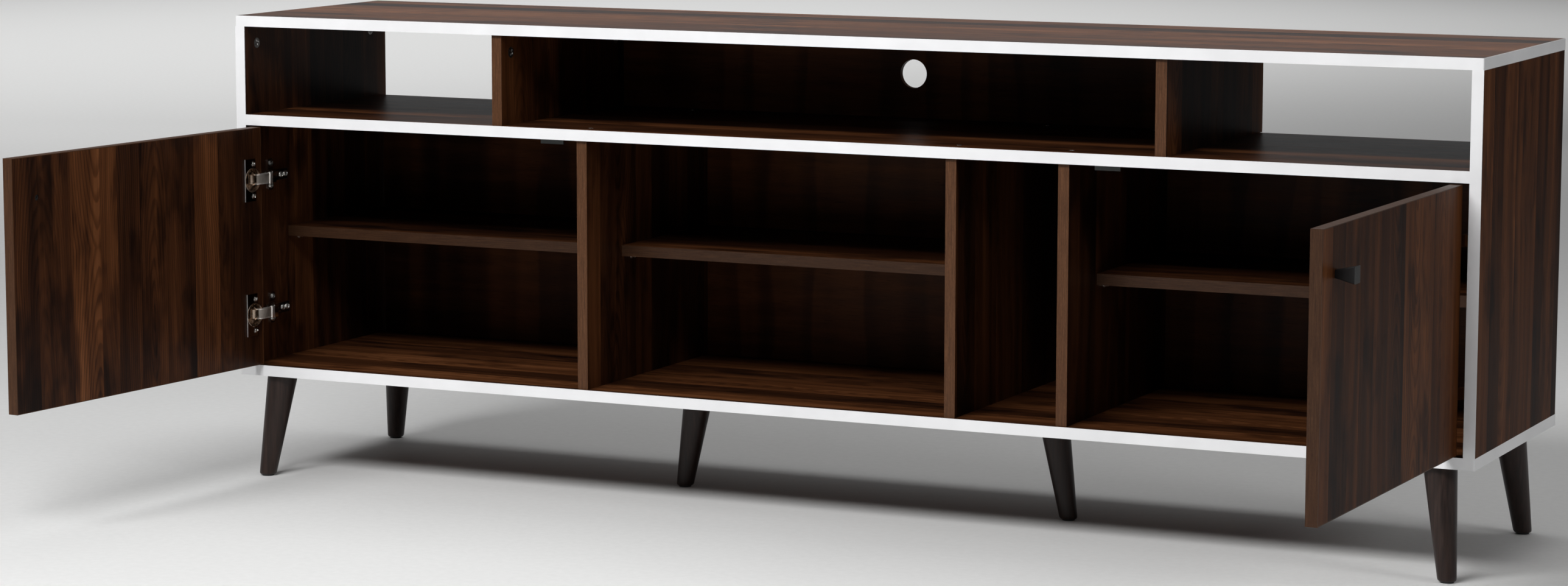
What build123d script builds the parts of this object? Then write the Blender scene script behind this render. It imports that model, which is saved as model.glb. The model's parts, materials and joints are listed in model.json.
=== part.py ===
"""Free-standing low television cabinet: three lower bays and a narrow slot, two of the bays behind
inset doors on concealed hinges, three open upper bays, and six round tapered legs.

Millimetres. The origin is on the floor under the middle of the carcass, the front faces -Y, and +Z is up.
The doors stand open: the left one at 95 degrees and the right one at 89 degrees.
"""
from build123d import *
import os
from math import cos, radians, sin

# ---- Carcass: outer size, board thickness and clear heights ----
WIDTH = 1800
DEPTH = 385
BOARD = 15
BAND = 1
LEG_HEIGHT = 145
LOWER_CLEAR = 341
UPPER_CLEAR = 124
SIDE_DEPTH = 382
SHELF_DEPTH = 372
DIVIDER_SETBACK = 5
CORNER_ROUND = 2
FIT = 0.1

# ---- Dividers and inner shelves ----
UPPER_DIVIDER_X = 481.5
LOWER_LEFT_X = -350.5
LOWER_CENTRE_X = 193.5
LOWER_RIGHT_X = 350.5
INNER_SHELF_SETBACK = 105
INNER_SHELF_HEIGHT = 188
INNER_SHELF_END_GAP = 1
INNER_SHELF_REAR_GAP = 2

# ---- Back panels ----
BACK = 8
BACK_SIDE_GAP = 1
BACK_BELOW_SHELF_TOP = 4
GROOVE = 4
CABLE_HOLE_R = 20
CABLE_HOLE_X = -17

# ---- Doors ----
DOOR_GAP = 2
DOOR_SETBACK = 5
PIVOT_INSET = 19
LEFT_OPEN = 95
RIGHT_OPEN = 89

# ---- Hinges ----
HINGE_FROM_DOOR_END = 73
CUP_R = 17.5
CUP_DEEP = 11.5
CUP_FROM_EDGE = 20
CUP_WALL = 1.2
FLANGE_LONG = 60
FLANGE_WIDE = 24
FLANGE_PAST_CUP = 6
FLANGE_THICK = 1
PLATE_CORNER = 4
CUP_SCREW_SPAN = 45
CUP_SCREW_BEFORE_CUP = 2
CUP_SCREW_R = 1.7
CUP_SCREW_HEAD_R = 3.4
CUP_SCREW_HEAD = 1.2
CUP_SCREW_LONG = 11
ARM_WIDE = 16
ARM_SHEET = 1.5
ARM_TOP = 15
ARM_OUTLINE = ((9, 84), (9, 36), (23, 27), (23, 12), (31, 12), (31, 30), (ARM_TOP, 44), (ARM_TOP, 84))
ARM_HOLLOW = ((0, 85), (0, 46), (13.5, 46), (13.5, 85))
RAIL_WIDE = 12
RAIL_OUTLINE = ((0, 40), (5, 40), (8, 48), (11, 60), (11, 82), (0, 82))
WING_FROM_FRONT = 60
WING_WIDE = 13
WING_LONG = 44
WING_THICK = 2
PLATE_SCREW_SPAN = 32
PLATE_SCREW_R = 2.5
PLATE_SCREW_HEAD_R = 4
PLATE_SCREW_HEAD = 2
PLATE_SCREW_LONG = 12
ARM_SCREW_R = 2
ARM_SCREW_HEAD_R = 4
ARM_SCREW_HEAD = 1.6
ARM_SCREW_LONG = 12
ARM_SCREWS_FROM_FRONT = (67, 78)

# ---- Knobs and door stops ----
KNOB_FROM_FREE_EDGE = 48
KNOB_FROM_TOP = 55
KNOB_BASE = 9.5
KNOB_FACE = 20
KNOB_LONG = 25
KNOB_EDGE = 1.2
KNOB_SCREW_R = 2
KNOB_SCREW_HEAD_R = 4
KNOB_SCREW_HEAD = 2.2
KNOB_SCREW_RECESS = 2.5
KNOB_SCREW_IN_KNOB = 12
STOP_X = 404.5
STOP_FROM_FRONT = 20.5
STOP_WIDE = 35
STOP_FOOT_DEEP = 16
STOP_FOOT = 2
STOP_LIP_HIGH = 8
STOP_LIP = 2
STOP_SCREW_SPAN = 20
SMALL_SCREW_R = 1.5
SMALL_SCREW_HEAD_R = 2.8
SMALL_SCREW_HEAD = 1.2
SMALL_SCREW_LONG = 12

# ---- Legs ----
FOOT_R = 12
LEG_TOP_R = 21.5
FOOT_ROUND = 3
FOOT_INSET_X = 35
FRONT_FOOT_INSET = 12.5
REAR_FOOT_INSET = 19
CORNER_SPLAY = 17
MIDDLE_FOOT_X = 289
MIDDLE_SPLAY = 24
GLIDE_R = 8.5
GLIDE = 2
INSERT_R = 6
INSERT_LONG = 12
HANGER_R = 4
HANGER_IN_LEG = 32

# ---- Flat-pack fasteners ----
CAM_R = 7.5
CAM_DEEP = 12
CAM_FROM_END = 25
CAM_BOLT_R = 3
CAM_THREAD = 10
DOWEL_R = 4
DOWEL_LONG = 30
DOWEL_IN_FACE = 10
FRONT_FIXING = 32
REAR_FIXING = 340
FRONT_DOWEL = 64
REAR_DOWEL = 308
CONFIRMAT_R = 2.5
CONFIRMAT_HEAD_R = 5
CONFIRMAT_HEAD = 4
CONFIRMAT_LONG = 50
PIN_R = 2.5
PIN_LONG = 13
PIN_COLLAR_R = 4
PIN_COLLAR = 0.8
PIN_FROM_FRONT = (135, 335)
BACK_SCREW_LONG = 20
BACK_SCREW_ROWS = (70, 271)
BACK_SCREW_COLUMNS = (-860, -610, 0, 610, 860)

# ---- Levels and faces worked out from the sizes above ----
FRONT = -DEPTH / 2
REAR = DEPTH / 2
END = WIDTH / 2
INNER_END = END - BOARD
FLOOR_Z = LEG_HEIGHT + BOARD
SHELF_Z = FLOOR_Z + LOWER_CLEAR
UPPER_Z = SHELF_Z + BOARD
TOP_Z = UPPER_Z + UPPER_CLEAR
SHELF_REAR = FRONT + SHELF_DEPTH
SIDE_REAR = FRONT + SIDE_DEPTH
DIVIDER_FRONT = FRONT + DIVIDER_SETBACK
SHELF_MID_Z = SHELF_Z + BOARD / 2
INNER_SHELF_TOP = FLOOR_Z + INNER_SHELF_HEIGHT
INNER_SHELF_BOTTOM = INNER_SHELF_TOP - BOARD
INNER_SHELF_FRONT = FRONT + INNER_SHELF_SETBACK
PIN_Z = INNER_SHELF_BOTTOM - PIN_R
CAM_Z = TOP_Z - CAM_FROM_END
DIVIDER_BOTTOM_X = {"left": LOWER_LEFT_X, "centre": LOWER_CENTRE_X, "right": LOWER_RIGHT_X}
DIVIDER_TOP_X = {"left": -UPPER_DIVIDER_X, "right": UPPER_DIVIDER_X}
FIXING_Y = (FRONT + FRONT_FIXING, FRONT + REAR_FIXING)
DOWEL_Y = (FRONT + FRONT_DOWEL, FRONT + REAR_DOWEL)
BAYS = {
    "left": (-INNER_END, LOWER_LEFT_X - BOARD / 2),
    "centre": (LOWER_LEFT_X + BOARD / 2, LOWER_CENTRE_X - BOARD / 2),
    "right": (LOWER_RIGHT_X + BOARD / 2, INNER_END),
}
STOP_FRONT = FRONT + STOP_FROM_FRONT
STOP_SCREWS = []
for stop_x in (-STOP_X, STOP_X):
    for shift in (-STOP_SCREW_SPAN / 2, STOP_SCREW_SPAN / 2):
        STOP_SCREWS.append((stop_x + shift, STOP_FRONT + (STOP_LIP + STOP_FOOT_DEEP) / 2))

# ---- Door frame of reference: u runs to the free edge, v runs into the cabinet when shut ----
DOOR_WIDE = BAYS["left"][1] - BAYS["left"][0] - 2 * DOOR_GAP
DOOR_LOW = FLOOR_Z + DOOR_GAP
DOOR_HIGH = SHELF_Z - DOOR_GAP
HINGE_EDGE = BOARD + DOOR_GAP - PIVOT_INSET
FREE_EDGE = HINGE_EDGE + DOOR_WIDE
OUTER_FACE = DOOR_SETBACK
INNER_FACE = DOOR_SETBACK + BOARD
CUP_U = HINGE_EDGE + CUP_FROM_EDGE
FLANGE_U = CUP_U + FLANGE_PAST_CUP
CUP_SCREW_U = CUP_U - CUP_SCREW_BEFORE_CUP
KNOB_U = FREE_EDGE - KNOB_FROM_FREE_EDGE
KNOB_Z = DOOR_HIGH - KNOB_FROM_TOP
HINGE_Z = (DOOR_LOW + HINGE_FROM_DOOR_END, DOOR_HIGH - HINGE_FROM_DOOR_END)

UP = (0, 0, 1)
DOWN = (0, 0, -1)
RIGHTWARD = (1, 0, 0)
LEFTWARD = (-1, 0, 0)
BACKWARD = (0, 1, 0)
FORWARD = (0, -1, 0)


def door_base(side):
    """Plane at the hinge axis with X along the open door; Y is +v on the left door, -v on the right."""
    angle = radians(-LEFT_OPEN if side == "left" else 180 + RIGHT_OPEN)
    pivot_x = (PIVOT_INSET - END) * hand(side)
    return Plane(origin=(pivot_x, FRONT, 0), x_dir=(cos(angle), sin(angle), 0), z_dir=UP)


def hand(side):
    """+1 on the left door, -1 on the mirrored right door."""
    return 1 if side == "left" else -1


def block(x, y, z, mode=Mode.ADD, base=Plane.XY):
    """Add or cut a block that fills three (low, high) spans."""
    with BuildSketch(base.offset(z[0])) as plan:
        with Locations(((x[0] + x[1]) / 2, (y[0] + y[1]) / 2)):
            Rectangle(x[1] - x[0], y[1] - y[0])
    extrude(plan.sketch, amount=z[1] - z[0], mode=mode)


def plate(middle, across_way, normal, width, height, thickness, base=Plane.XY):
    """Add a plate with rounded corners, standing on middle and growing along normal."""
    with BuildSketch(Plane(base * Plane(origin=middle, x_dir=across_way, z_dir=normal))) as outline:
        RectangleRounded(width, height, PLATE_CORNER)
    extrude(outline.sketch, amount=thickness)


def rod(start, direction, radius, length, mode=Mode.ADD, base=Plane.XY):
    """Add or cut a round bar from start along direction."""
    with BuildSketch(Plane(base * Plane(origin=start, z_dir=direction))) as section:
        Circle(radius)
    extrude(section.sketch, amount=length, mode=mode)


def screw(start, direction, head_r, head, shank_r, shank, base=Plane.XY):
    """Screw whose head starts at start, with its shank running on along direction."""
    rod(start, direction, head_r, head, base=base)
    neck = Vector(*start) + Vector(*direction) * head
    rod(tuple(neck), direction, shank_r, shank, base=base)


def save(name, piece):
    """Label a finished piece and write its STEP file."""
    piece.part.label = name
    export_step(piece.part, f"parts/{name}.step")


os.makedirs("parts", exist_ok=True)


# ---- Top and bottom panels, each with a white band wrapped round its front and both ends ----
def capping_outline(inset, rounding):
    """Plan outline of a capping panel, inset at the front and the ends, with its front corners rounded."""
    with Locations((0, inset / 2)):
        face = Rectangle(WIDTH - 2 * inset, DEPTH - inset)
    fillet(face.vertices().group_by(Axis.Y)[0], rounding)


def capping_panel(low):
    """Board core of a capping panel."""
    with BuildSketch(Plane.XY.offset(low)) as plan:
        capping_outline(BAND, CORNER_ROUND - BAND)
    extrude(plan.sketch, amount=BOARD)


def capping_edging(low):
    """White band round a capping panel."""
    with BuildSketch(Plane.XY.offset(low)) as plan:
        capping_outline(0, CORNER_ROUND)
        with BuildSketch(mode=Mode.SUBTRACT):
            capping_outline(BAND, CORNER_ROUND - BAND)
    extrude(plan.sketch, amount=BOARD)


TOP_JOINT_X = (-(END - BOARD / 2), -UPPER_DIVIDER_X, UPPER_DIVIDER_X, END - BOARD / 2)

with BuildPart() as top_panel:
    capping_panel(TOP_Z)
    for joint_x in TOP_JOINT_X:
        for fixing_y in FIXING_Y:
            rod((joint_x, fixing_y, TOP_Z), UP, CAM_BOLT_R + FIT, CAM_THREAD + FIT, Mode.SUBTRACT)
        for dowel_y in DOWEL_Y:
            rod((joint_x, dowel_y, TOP_Z), UP, DOWEL_R + FIT, DOWEL_IN_FACE + FIT, Mode.SUBTRACT)
save("top_panel", top_panel)

BOTTOM_JOINT_X = (-(END - BOARD / 2), LOWER_LEFT_X, LOWER_CENTRE_X, LOWER_RIGHT_X, END - BOARD / 2)

LEGS = {
    "front_left": ((-(END - FOOT_INSET_X), FRONT + FRONT_FOOT_INSET), (CORNER_SPLAY, CORNER_SPLAY)),
    "front_right": ((END - FOOT_INSET_X, FRONT + FRONT_FOOT_INSET), (-CORNER_SPLAY, CORNER_SPLAY)),
    "middle_left": ((-MIDDLE_FOOT_X, 0), (MIDDLE_SPLAY, 0)),
    "middle_right": ((MIDDLE_FOOT_X, 0), (-MIDDLE_SPLAY, 0)),
    "rear_left": ((-(END - FOOT_INSET_X), REAR - REAR_FOOT_INSET), (CORNER_SPLAY, -CORNER_SPLAY)),
    "rear_right": ((END - FOOT_INSET_X, REAR - REAR_FOOT_INSET), (-CORNER_SPLAY, -CORNER_SPLAY)),
}


def leg_top(leg):
    """Centre of a leg's top in plan."""
    foot, splay = LEGS[leg]
    return foot[0] + splay[0], foot[1] + splay[1]


with BuildPart() as bottom_panel:
    capping_panel(LEG_HEIGHT)
    for joint_x in BOTTOM_JOINT_X:
        for fixing_y in FIXING_Y:
            under = (joint_x, fixing_y, LEG_HEIGHT)
            rod(under, UP, CONFIRMAT_HEAD_R + FIT, CONFIRMAT_HEAD + FIT, Mode.SUBTRACT)
            rod(under, UP, CONFIRMAT_R + FIT, BOARD, Mode.SUBTRACT)
    for leg in LEGS:
        rod((*leg_top(leg), LEG_HEIGHT), UP, INSERT_R + FIT, INSERT_LONG + FIT, Mode.SUBTRACT)
save("bottom_panel", bottom_panel)

for name, low in (("top_panel_edging", TOP_Z), ("bottom_panel_edging", LEG_HEIGHT)):
    with BuildPart() as edging:
        capping_edging(low)
    save(name, edging)


# ---- Side panels ----
def cut_top_joint(centre_x, cam_face_x, cam_direction):
    """Cam pockets, bolt bores and dowel bores in the upper end of an upright board."""
    for fixing_y in FIXING_Y:
        rod((cam_face_x, fixing_y, CAM_Z), cam_direction, CAM_R + FIT, CAM_DEEP + FIT, Mode.SUBTRACT)
        rod((centre_x, fixing_y, TOP_Z), DOWN, CAM_BOLT_R + FIT, CAM_FROM_END, Mode.SUBTRACT)
    for dowel_y in DOWEL_Y:
        rod((centre_x, dowel_y, TOP_Z), DOWN, DOWEL_R + FIT, DOWEL_LONG - DOWEL_IN_FACE, Mode.SUBTRACT)


def cut_screw_bores(centre_x, end_z, direction):
    """Pilot bores for carcass screws in the end of an upright board."""
    for fixing_y in FIXING_Y:
        rod((centre_x, fixing_y, end_z), direction, CONFIRMAT_R + FIT, CONFIRMAT_LONG - BOARD + FIT,
            Mode.SUBTRACT)


def cut_pin_bores(face_x, direction):
    """Bores for the two shelf pins in the face of an upright board."""
    for from_front in PIN_FROM_FRONT:
        rod((face_x, FRONT + from_front, PIN_Z), direction, PIN_R + FIT, PIN_LONG / 2 + FIT, Mode.SUBTRACT)


for side in ("left", "right"):
    outward = hand(side)
    outer_x = -END * outward
    inner_x = -INNER_END * outward
    centre_x = (outer_x + inner_x) / 2
    into_board = LEFTWARD if side == "left" else RIGHTWARD
    span = tuple(sorted((outer_x, inner_x)))
    with BuildPart() as side_panel:
        block(span, (FRONT + BAND, SIDE_REAR), (FLOOR_Z, TOP_Z))
        cut_top_joint(centre_x, inner_x, into_board)
        cut_screw_bores(centre_x, FLOOR_Z, UP)
        cut_pin_bores(inner_x, into_board)
        for fixing_y in FIXING_Y:
            rod((inner_x, fixing_y, SHELF_MID_Z), into_board, CAM_BOLT_R + FIT, CAM_THREAD + FIT,
                Mode.SUBTRACT)
        for dowel_y in DOWEL_Y:
            rod((inner_x, dowel_y, SHELF_MID_Z), into_board, DOWEL_R + FIT, DOWEL_IN_FACE + FIT,
                Mode.SUBTRACT)
        for hinge_z in HINGE_Z:
            for rise in (-PLATE_SCREW_SPAN / 2, PLATE_SCREW_SPAN / 2):
                rod((inner_x, FRONT + WING_FROM_FRONT, hinge_z + rise), into_board, PLATE_SCREW_R + FIT,
                    PLATE_SCREW_LONG - WING_THICK + FIT, Mode.SUBTRACT)
    save(f"{side}_side_panel", side_panel)
    with BuildPart() as side_edging:
        block(span, (FRONT, FRONT + BAND), (FLOOR_Z, TOP_Z))
    save(f"{side}_side_edging", side_edging)

# ---- Middle shelf, between the side panels ----
BACK_SCREW_Z = SHELF_MID_Z
BACK_OUTER = SHELF_REAR + BACK
SHELF_SCREWS = [(x, UPPER_Z, DOWN) for x in DIVIDER_BOTTOM_X.values()]
SHELF_SCREWS += [(x, SHELF_Z, UP) for x in DIVIDER_TOP_X.values()]

with BuildPart() as middle_shelf:
    block((-INNER_END, INNER_END), (FRONT + BAND, SHELF_REAR), (SHELF_Z, UPPER_Z))
    for end_x, inward in ((-INNER_END, RIGHTWARD), (INNER_END, LEFTWARD)):
        for fixing_y in FIXING_Y:
            cam_x = end_x + inward[0] * CAM_FROM_END
            rod((cam_x, fixing_y, SHELF_Z), UP, CAM_R + FIT, CAM_DEEP + FIT, Mode.SUBTRACT)
            rod((end_x, fixing_y, SHELF_MID_Z), inward, CAM_BOLT_R + FIT, CAM_FROM_END, Mode.SUBTRACT)
        for dowel_y in DOWEL_Y:
            rod((end_x, dowel_y, SHELF_MID_Z), inward, DOWEL_R + FIT, DOWEL_LONG - DOWEL_IN_FACE,
                Mode.SUBTRACT)
    for divider_x, face_z, inward in SHELF_SCREWS:
        for fixing_y in FIXING_Y:
            head = (divider_x, fixing_y, face_z)
            rod(head, inward, CONFIRMAT_HEAD_R + FIT, CONFIRMAT_HEAD + FIT, Mode.SUBTRACT)
            rod(head, inward, CONFIRMAT_R + FIT, BOARD, Mode.SUBTRACT)
    for screw_x, screw_y in STOP_SCREWS:
        rod((screw_x, screw_y, SHELF_Z), UP, SMALL_SCREW_R + FIT, SMALL_SCREW_LONG - STOP_FOOT + FIT,
            Mode.SUBTRACT)
    for screw_x in BACK_SCREW_COLUMNS:
        rod((screw_x, SHELF_REAR, BACK_SCREW_Z), FORWARD, SMALL_SCREW_R + FIT,
            BACK_SCREW_LONG - BACK + FIT, Mode.SUBTRACT)
save("middle_shelf", middle_shelf)

with BuildPart() as middle_shelf_edging:
    block((-INNER_END, INNER_END), (FRONT, FRONT + BAND), (SHELF_Z, UPPER_Z))
save("middle_shelf_edging", middle_shelf_edging)

# ---- Upper dividers, grooved for the upper back panel ----
UPPER_BACK_SPAN = (SHELF_REAR - BACK, SHELF_REAR)

for side, centre_x in DIVIDER_TOP_X.items():
    left_x = centre_x - BOARD / 2
    right_x = centre_x + BOARD / 2
    inner_x, into_board = (right_x, LEFTWARD) if side == "left" else (left_x, RIGHTWARD)
    groove = sorted((inner_x, inner_x + into_board[0] * GROOVE))
    with BuildPart() as divider:
        block((left_x, right_x), (DIVIDER_FRONT + BAND, SIDE_REAR), (UPPER_Z, TOP_Z))
        cut_top_joint(centre_x, inner_x, into_board)
        cut_screw_bores(centre_x, UPPER_Z, UP)
        block(groove, UPPER_BACK_SPAN, (UPPER_Z, TOP_Z), Mode.SUBTRACT)
    save(f"upper_divider_{side}", divider)

# ---- Lower dividers ----
PIN_FACES = {"left": (LEFTWARD, RIGHTWARD), "centre": (LEFTWARD,), "right": (RIGHTWARD,)}

for side, centre_x in DIVIDER_BOTTOM_X.items():
    with BuildPart() as divider:
        block((centre_x - BOARD / 2, centre_x + BOARD / 2), (DIVIDER_FRONT + BAND, SHELF_REAR),
              (FLOOR_Z, SHELF_Z))
        cut_screw_bores(centre_x, FLOOR_Z, UP)
        cut_screw_bores(centre_x, SHELF_Z, DOWN)
        for faces in PIN_FACES[side]:
            face_x = centre_x + faces[0] * BOARD / 2
            cut_pin_bores(face_x, LEFTWARD if faces[0] > 0 else RIGHTWARD)
        for rise in BACK_SCREW_ROWS:
            rod((centre_x, SHELF_REAR, FLOOR_Z + rise), FORWARD, SMALL_SCREW_R + FIT,
                BACK_SCREW_LONG - BACK + FIT, Mode.SUBTRACT)
    save(f"lower_divider_{side}", divider)

with BuildPart() as divider_edging:
    for centre_x in DIVIDER_TOP_X.values():
        block((centre_x - BOARD / 2, centre_x + BOARD / 2), (DIVIDER_FRONT, DIVIDER_FRONT + BAND),
              (UPPER_Z, TOP_Z))
    for centre_x in DIVIDER_BOTTOM_X.values():
        block((centre_x - BOARD / 2, centre_x + BOARD / 2), (DIVIDER_FRONT, DIVIDER_FRONT + BAND),
              (FLOOR_Z, SHELF_Z))
save("divider_edging", divider_edging)

# ---- Back panels: one across all lower bays, one in the upper centre bay ----
LOWER_BACK_TOP = UPPER_Z - BACK_BELOW_SHELF_TOP
BACK_SCREWS = [(x, BACK_SCREW_Z) for x in BACK_SCREW_COLUMNS]
for divider_x in DIVIDER_BOTTOM_X.values():
    BACK_SCREWS += [(divider_x, FLOOR_Z + rise) for rise in BACK_SCREW_ROWS]

with BuildPart() as lower_back_panel:
    half = INNER_END - BACK_SIDE_GAP
    block((-half, half), (SHELF_REAR, BACK_OUTER), (FLOOR_Z, LOWER_BACK_TOP))
    for screw_x, screw_z in BACK_SCREWS:
        rod((screw_x, BACK_OUTER, screw_z), FORWARD, SMALL_SCREW_R + FIT, BACK, Mode.SUBTRACT)
save("lower_back_panel", lower_back_panel)

with BuildPart() as back_panel_screws:
    for screw_x, screw_z in BACK_SCREWS:
        screw((screw_x, BACK_OUTER + SMALL_SCREW_HEAD, screw_z), FORWARD, SMALL_SCREW_HEAD_R,
              SMALL_SCREW_HEAD, SMALL_SCREW_R, BACK_SCREW_LONG)
save("back_panel_screws", back_panel_screws)

with BuildPart() as upper_back_panel:
    half = UPPER_DIVIDER_X - BOARD / 2 + GROOVE - FIT
    block((-half, half), UPPER_BACK_SPAN, (UPPER_Z, TOP_Z))
    hole_front = (CABLE_HOLE_X, UPPER_BACK_SPAN[0], (UPPER_Z + TOP_Z) / 2)
    rod(hole_front, BACKWARD, CABLE_HOLE_R, BACK, Mode.SUBTRACT)
save("upper_back_panel", upper_back_panel)

# ---- Inner shelves resting on pins ----
INNER_SHELF_REAR = SHELF_REAR - INNER_SHELF_REAR_GAP

for bay, (bay_left, bay_right) in BAYS.items():
    shelf_span = (bay_left + INNER_SHELF_END_GAP, bay_right - INNER_SHELF_END_GAP)
    with BuildPart() as inner_shelf:
        block(shelf_span, (INNER_SHELF_FRONT + BAND, INNER_SHELF_REAR),
              (INNER_SHELF_BOTTOM, INNER_SHELF_TOP))
    save(f"inner_shelf_{bay}", inner_shelf)

with BuildPart() as inner_shelf_edging:
    for bay_left, bay_right in BAYS.values():
        block((bay_left + INNER_SHELF_END_GAP, bay_right - INNER_SHELF_END_GAP),
              (INNER_SHELF_FRONT, INNER_SHELF_FRONT + BAND), (INNER_SHELF_BOTTOM, INNER_SHELF_TOP))
save("inner_shelf_edging", inner_shelf_edging)

with BuildPart() as shelf_pins:
    for bay_left, bay_right in BAYS.values():
        for face_x, inward in ((bay_left, RIGHTWARD), (bay_right, LEFTWARD)):
            for from_front in PIN_FROM_FRONT:
                buried = (face_x - inward[0] * PIN_LONG / 2, FRONT + from_front, PIN_Z)
                rod(buried, inward, PIN_R, PIN_LONG)
                rod((face_x, FRONT + from_front, PIN_Z), inward, PIN_COLLAR_R, PIN_COLLAR)
save("shelf_pins", shelf_pins)


# ---- Cams, cam bolts, dowels and carcass screws ----
def cam(face, direction, bolt_way):
    """Cam housing with its pocket for the bolt's head, opening towards the bolt."""
    rod(face, direction, CAM_R, CAM_DEEP)
    middle = Vector(*face) + Vector(*direction) * (BOARD / 2)
    rod(tuple(middle - Vector(*bolt_way) * CAM_BOLT_R), bolt_way, CAM_BOLT_R + FIT, CAM_R + 2 * CAM_BOLT_R,
        Mode.SUBTRACT)


TOP_CAMS = [
    (-INNER_END, -(END - BOARD / 2), LEFTWARD),
    (-UPPER_DIVIDER_X + BOARD / 2, -UPPER_DIVIDER_X, LEFTWARD),
    (UPPER_DIVIDER_X - BOARD / 2, UPPER_DIVIDER_X, RIGHTWARD),
    (INNER_END, END - BOARD / 2, RIGHTWARD),
]
SHELF_ENDS = ((-INNER_END, RIGHTWARD), (INNER_END, LEFTWARD))

with BuildPart() as cam_locks:
    for face_x, centre_x, direction in TOP_CAMS:
        for fixing_y in FIXING_Y:
            cam((face_x, fixing_y, CAM_Z), direction, UP)
    for end_x, inward in SHELF_ENDS:
        for fixing_y in FIXING_Y:
            cam((end_x + inward[0] * CAM_FROM_END, fixing_y, SHELF_Z), UP, (-inward[0], 0, 0))
save("cam_locks", cam_locks)

with BuildPart() as cam_bolts:
    for face_x, centre_x, direction in TOP_CAMS:
        for fixing_y in FIXING_Y:
            rod((centre_x, fixing_y, CAM_Z), UP, CAM_BOLT_R, CAM_FROM_END + CAM_THREAD)
    for end_x, inward in SHELF_ENDS:
        for fixing_y in FIXING_Y:
            rod((end_x + inward[0] * CAM_FROM_END, fixing_y, SHELF_MID_Z), (-inward[0], 0, 0), CAM_BOLT_R,
                CAM_FROM_END + CAM_THREAD)
save("cam_bolts", cam_bolts)

with BuildPart() as dowels:
    for joint_x in TOP_JOINT_X:
        for dowel_y in DOWEL_Y:
            rod((joint_x, dowel_y, TOP_Z + DOWEL_IN_FACE), DOWN, DOWEL_R, DOWEL_LONG)
    for end_x, inward in SHELF_ENDS:
        for dowel_y in DOWEL_Y:
            rod((end_x - inward[0] * DOWEL_IN_FACE, dowel_y, SHELF_MID_Z), inward, DOWEL_R, DOWEL_LONG)
save("dowels", dowels)

with BuildPart() as carcass_screws:
    bottom_screws = [(x, LEG_HEIGHT, UP) for x in BOTTOM_JOINT_X]
    for joint_x, face_z, inward in bottom_screws + SHELF_SCREWS:
        for fixing_y in FIXING_Y:
            screw((joint_x, fixing_y, face_z), inward, CONFIRMAT_HEAD_R, CONFIRMAT_HEAD, CONFIRMAT_R,
                  CONFIRMAT_LONG - CONFIRMAT_HEAD)
save("carcass_screws", carcass_screws)

# ---- Legs: slanted cones with rounded feet, each on a hanger bolt, an insert nut and a glide ----
for leg, (foot, splay) in LEGS.items():
    top = leg_top(leg)
    with BuildPart() as leg_turning:
        with BuildSketch(Plane.XY.offset(GLIDE)):
            with Locations(foot):
                Circle(FOOT_R)
        with BuildSketch(Plane.XY.offset(LEG_HEIGHT)):
            with Locations(top):
                Circle(LEG_TOP_R)
        loft()
        fillet(leg_turning.edges().group_by(Axis.Z)[0], FOOT_ROUND)
        rod((*top, LEG_HEIGHT), DOWN, HANGER_R + FIT, HANGER_IN_LEG + FIT, Mode.SUBTRACT)
    save(f"leg_{leg}", leg_turning)

with BuildPart() as leg_glides:
    for foot, splay in LEGS.values():
        rod((*foot, 0), UP, GLIDE_R, GLIDE)
save("leg_glides", leg_glides)

with BuildPart() as leg_insert_nuts:
    for leg in LEGS:
        rod((*leg_top(leg), LEG_HEIGHT), UP, INSERT_R, INSERT_LONG)
        rod((*leg_top(leg), LEG_HEIGHT), UP, HANGER_R + FIT, INSERT_LONG, Mode.SUBTRACT)
save("leg_insert_nuts", leg_insert_nuts)

with BuildPart() as leg_hanger_bolts:
    for leg in LEGS:
        rod((*leg_top(leg), LEG_HEIGHT - HANGER_IN_LEG), UP, HANGER_R, HANGER_IN_LEG + INSERT_LONG)
save("leg_hanger_bolts", leg_hanger_bolts)


# ---- Doors with their edging, hinge cups and knobs ----
def across(side, low, high):
    """Span from low to high in v, as a span of the door plane's Y."""
    return tuple(sorted((hand(side) * low, hand(side) * high)))


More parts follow.
